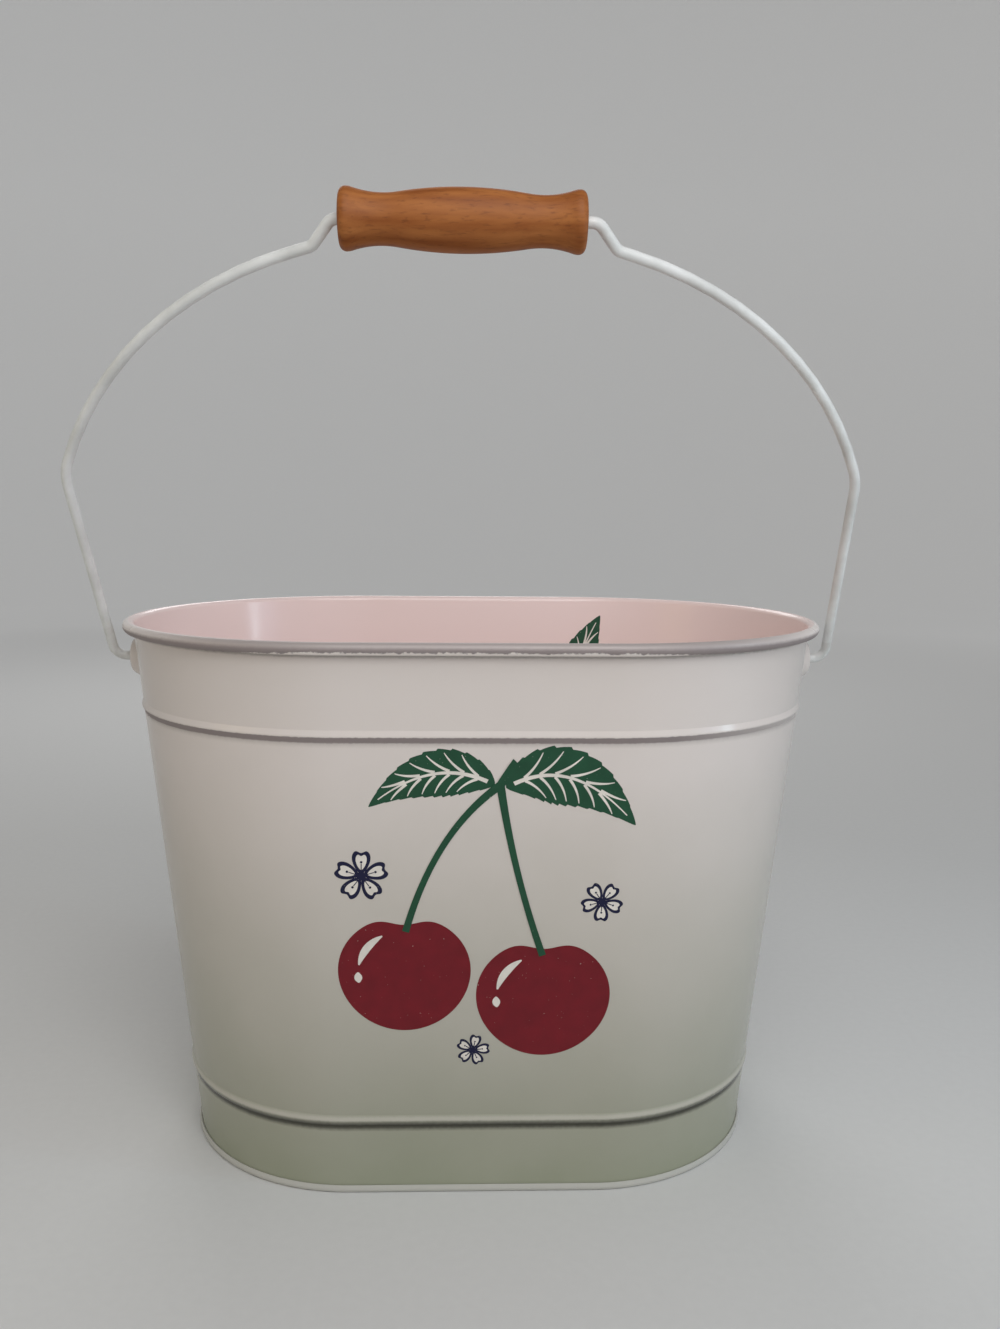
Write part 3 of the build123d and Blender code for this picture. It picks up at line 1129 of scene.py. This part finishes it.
def wire_paint():
    """White dipped paint on wire with patches and dirt."""
    material, tree, coords = new_material("white_dipped_paint")
    height = add_node(tree, "SeparateXYZ", {0: coords}).outputs["Z"]
    patches = add_node(tree, "TexNoise", {"Vector": coords, "Scale": 1 / patch_size, "Detail": 4})
    tone = add_node(tree, "MapRange", {0: patches, 1: 0.35, 2: 0.65})
    low_range = {0: height, 1: hand_dirt_full, 2: hand_dirt_end, 3: 0.25, 4: 0.02}
    lowness = add_node(tree, "MapRange", low_range)
    smear = add_node(tree, "TexNoise", {"Vector": coords, "Scale": 1 / smear_size, "Detail": 4})
    smeared = add_node(tree, "MapRange", {0: smear, 1: 0.48, 2: 0.66})
    darkening = add_node(tree, "Math", {0: lowness, 1: smeared}, operation="MULTIPLY")
    colour = hex_colour("#d6d7d5")
    for amount, code in ((tone, "#e8e9e8"), (darkening, "#8d8071")):
        mix = {0: amount, 6: colour, 7: hex_colour(code)}
        colour = add_node(tree, "Mix", mix, data_type="RGBA").outputs[2]
    runs = add_node(tree, "TexNoise", {"Vector": coords, "Scale": 1 / run_size, "Detail": 1})
    skin = add_node(tree, "Bump", {"Height": runs, "Strength": 0.2, "Distance": run_depth})
    sheen = add_node(tree, "MapRange", {0: patches, 3: 0.34, 4: 0.44} | noise_span)
    return close_material(material, {"Base Color": colour, "Roughness": sheen, "Normal": skin})


bail.data.materials.append(wire_paint())

# %% [markdown]
# ## Varnished beech
#
# Beech is turned along the grain: warm orange-brown, with broad soft streaks and many short dark flecks
# that run lengthwise. The noise is stretched along X by scaling that coordinate down, and centred on the
# grip. The varnish is worn by hands, so it gives the eye a low sheen and no clear glint.

# %% Wood
streak_width = 3.5 * MM
streak_stretch = 0.12
# real flecks are finer than this, so they are drawn coarse enough to show
fleck_width = 0.8 * MM
fleck_stretch = 0.22
pore_depth = 0.05 * MM


def beech():
    """Varnished turned beech with streaks and flecks along X."""
    material, tree, coords = new_material("varnished_beech")
    grain = []
    for width, stretch, detail in ((streak_width, streak_stretch, 5), (fleck_width, fleck_stretch, 2)):
        stretched = {0: coords, 1: -grip_centre, 3: (stretch, 1, 1)}
        lengthwise = add_node(tree, "Mapping", stretched, vector_type="POINT")
        noise = {"Vector": lengthwise, "Scale": 1 / width, "Detail": detail}
        grain.append(add_node(tree, "TexNoise", noise))
    streaks, flecks = grain
    streak_share = add_node(tree, "MapRange", {0: streaks, 1: 0.32, 2: 0.68})
    fleck_share = add_node(tree, "MapRange", {0: flecks, 1: 0.55, 2: 0.72, 3: 0, 4: 0.4})
    colour = hex_colour("#874819")
    for amount, code in ((streak_share, "#a96833"), (fleck_share, "#5a2d12")):
        mix = {0: amount, 6: colour, 7: hex_colour(code)}
        colour = add_node(tree, "Mix", mix, data_type="RGBA").outputs[2]
    sheen = add_node(tree, "MapRange", {0: streaks, 3: 0.48, 4: 0.6} | noise_span)
    pores = add_node(tree, "Bump", {"Height": flecks, "Strength": 0.3, "Distance": pore_depth})
    return close_material(
        material, {"Base Color": colour, "Roughness": sheen, "Normal": pores, "Specular IOR Level": 0.3}
    )


grip.data.materials.append(beech())

# %% [markdown]
# ## Screen-print inks
#
# Screen-print ink is pressed through a mesh onto the enamel. It gives the eye a flat satin colour, whose
# thin film lets the tone vary a little, and pinholes where the enamel shows.

# %% Inks
ink_mottle_size = 6 * MM
# real pinholes are finer than this, so they are drawn coarse enough to show
pinhole_size = 0.7 * MM
pinhole_code = "#dedacf"


def ink(name, code):
    """Screen-print ink with a faint mottle and pinholes."""
    material, tree, coords = new_material(name)
    mottle = add_node(tree, "TexNoise", {"Vector": coords, "Scale": 1 / ink_mottle_size, "Detail": 5})
    tone = add_node(tree, "MapRange", {0: mottle, 3: 0.9, 4: 1.1} | noise_span)
    film = add_node(tree, "HueSaturation", {"Value": tone, "Color": hex_colour(code)})
    holes = add_node(tree, "TexNoise", {"Vector": coords, "Scale": 1 / pinhole_size, "Detail": 1})
    hole_share = add_node(tree, "MapRange", {0: holes, 1: 0.77, 2: 0.81, 3: 0, 4: 0.5})
    mix = {0: hole_share, 6: film.outputs[0], 7: hex_colour(pinhole_code)}
    colour = add_node(tree, "Mix", mix, data_type="RGBA").outputs[2]
    sheen = add_node(tree, "MapRange", {0: mottle, 3: 0.4, 4: 0.52} | noise_span)
    return close_material(material, {"Base Color": colour, "Roughness": sheen, "Specular IOR Level": 0.3})


inks = [
    (red_prints, "red_screen_ink", "#731420"),
    (green_prints, "green_screen_ink", "#1f4d36"),
    (navy_prints, "navy_screen_ink", "#16183a"),
    (white_prints, "white_screen_ink", "#e4ded6"),
]
for pieces, name, code in inks:
    material = ink(name, code)
    for piece in pieces:
        piece.data.materials.append(material)

# %% [markdown]
# ## Drawn steel wire
#
# The wire that the rim is rolled round is hidden, so its CAD node stays as it is. It is plain drawn
# steel, which gives the eye a grey metal with brighter and duller marks left by the die.

# %% Hidden wire
# real drawing marks are finer than this, so they are drawn coarse enough to show
mark_size = 1.2 * MM


def drawn_steel():
    """Drawn steel wire with small marks."""
    material, tree, coords = new_material("drawn_steel_wire")
    marks = add_node(tree, "TexNoise", {"Vector": coords, "Scale": 1 / mark_size, "Detail": 4})
    mix = {0: marks, 6: hex_colour("#8f9092"), 7: hex_colour("#c3c4c6")}
    tone = add_node(tree, "Mix", mix, data_type="RGBA").outputs[2]
    sheen = add_node(tree, "MapRange", {0: marks, 3: 0.3, 4: 0.45} | noise_span)
    return close_material(material, {"Base Color": tone, "Roughness": sheen, "Metallic": 1.0})


rim_wire = frame["nodes"]["rim_wire"]
rim_wire.data.materials.clear()
rim_wire.data.materials.append(drawn_steel())

# %% [markdown]
# ## Camera
#
# The camera stands where the photograph was taken from: close in front, a little above the rim, and
# tilted down. Its place and turns come from fitting the rim, the beads and the foot to the photograph.

# %% Camera
camera_place = (-0.004156, -0.480495, 0.262689)
camera_yaw = radians(1.828)
camera_pitch = radians(8.234)
camera_roll = radians(0.501)
camera_lens = 31.50
camera_sensor = 36
look = Matrix.Rotation(-camera_yaw, 4, "Z") @ Matrix.Rotation(pi / 2 - camera_pitch, 4, "X")
look = look @ Matrix.Rotation(camera_roll, 4, "Z")
bpy.ops.object.camera_add(location=camera_place, rotation=look.to_euler())
camera = bpy.context.object
camera.data.lens = camera_lens
camera.data.sensor_width = camera_sensor
bpy.context.scene.camera = camera
print("camera at", camera_place, "with a lens of", camera_lens, "mm")

# %% [markdown]
# ## Floor
#
# The floor is a wide dish of matt paper whose edge curves up all round, so that there is no horizon line
# from any side. Paper gives the eye an even pale tone with no shine. Far from the bucket it glows a
# little, as a lit backdrop does. The glow isn't sampled as a lamp, which would only slow the render.

# %% Floor
floor_radius = 2.4
cove_radius = 1.2
cove_height = 1.6
# real paper's tooth is far finer than this, so it is drawn coarse enough to show
tooth_size = 4 * MM
glow_start = 0.5
glow_full = 2
glow_strength = 0.2

dish = [Vector((0, 0)), Vector((floor_radius, 0))]
dish += arc(Vector((floor_radius, cove_radius)), cove_radius, -pi / 2, pi / 2, steps=16)
dish += [Vector((floor_radius + cove_radius, cove_radius + cove_height))]
floor = new_piece("studio_floor")
draw_line([Vector((radius, 0, height)) for radius, height in dish])
bpy.ops.mesh.spin(steps=96, angle=2 * pi, center=(0, 0, 0), axis=(0, 0, 1))
weld(inside=True)
bpy.ops.object.mode_set(mode="OBJECT")
smooth(floor)


def matt_paper():
    """Pale matt backdrop paper with a faint tooth, which glows far from the middle."""
    material, tree, coords = new_material("matt_backdrop_paper")
    material.cycles.emission_sampling = "NONE"
    tooth = add_node(tree, "TexNoise", {"Vector": coords, "Scale": 1 / tooth_size, "Detail": 3})
    mix = {0: tooth, 6: hex_colour("#d4d4d3"), 7: hex_colour("#d9d9d8")}
    tone = add_node(tree, "Mix", mix, data_type="RGBA").outputs[2]
    distance = add_node(tree, "VectorMath", {0: coords}, operation="LENGTH").outputs["Value"]
    glow_range = {0: distance, 1: glow_start, 2: glow_full, 3: 0, 4: glow_strength}
    glow = add_node(tree, "MapRange", glow_range)
    paper = {"Base Color": tone, "Roughness": 0.9, "Specular IOR Level": 0.2}
    paper |= {"Emission Color": (1, 1, 1, 1), "Emission Strength": glow}
    return close_material(material, paper)


floor.data.materials.append(matt_paper())

# %% [markdown]
# ## Light
#
# Two soft lights stand in front: one high, which lights the tops of the roll and the beads, and one
# lower, so that the shadows under the ledges stay short. A cool window at the right lights that end, and
# a narrow tall strip beside it draws the upright glint inside the left end. A weak warm wash comes from
# the left, and a fill from behind. White air lightens every shadow, and Standard colours show the paint
# as it was picked.

# %% Lights
air_strength = 0.12


def soft_light(name, location, aim, size, energy, code):
    """A rectangular area light, width by height, turned from its location towards an aim."""
    turn = (Vector(aim) - Vector(location)).to_track_quat("-Z", "Y").to_euler()
    bpy.ops.object.light_add(type="AREA", location=location, rotation=turn)
    light = bpy.context.object
    light.name = name
    light.data.shape = "RECTANGLE"
    light.data.size, light.data.size_y = size
    light.data.energy = energy
    light.data.color = hex_colour(code)[:3]
    light.visible_camera = False
    print(name, energy, "W")


# name, place and aim in metres, width and height in metres, watts, colour
soft_light("key_above", (0.12, -0.55, 1.05), (0, 0, 0.1), (0.7, 0.5), 2.6, "#ffffff")
soft_light("key_front", (0.14, -0.7, 0.66), (0, 0, 0.15), (0.45, 0.3), 2, "#ffffff")
soft_light("right_window", (0.95, -0.45, 0.42), (-0.05, 0, 0.2), (0.35, 0.45), 0.65, "#c6d8ff")
soft_light("right_strip", (0.8, -0.295, 0.3), (-0.1, 0.07, 0.2), (0.05, 0.5), 0.78, "#d2ecf2")
soft_light("left_wash", (-0.9, -0.5, 0.4), (0, 0, 0.1), (0.4, 0.6), 0.4, "#ffd95a")
soft_light("back_fill", (-0.2, 1.15, 0.95), (0, 0, 0.15), (0.8, 0.6), 4, "#ffffff")
world = bpy.data.worlds.new("studio_air")
world.use_nodes = True
air = world.node_tree.nodes["Background"]
air.inputs["Color"].default_value = (1, 1, 1, 1)
air.inputs["Strength"].default_value = air_strength
bpy.context.scene.world = world
bpy.context.scene.view_settings.view_transform = "Standard"
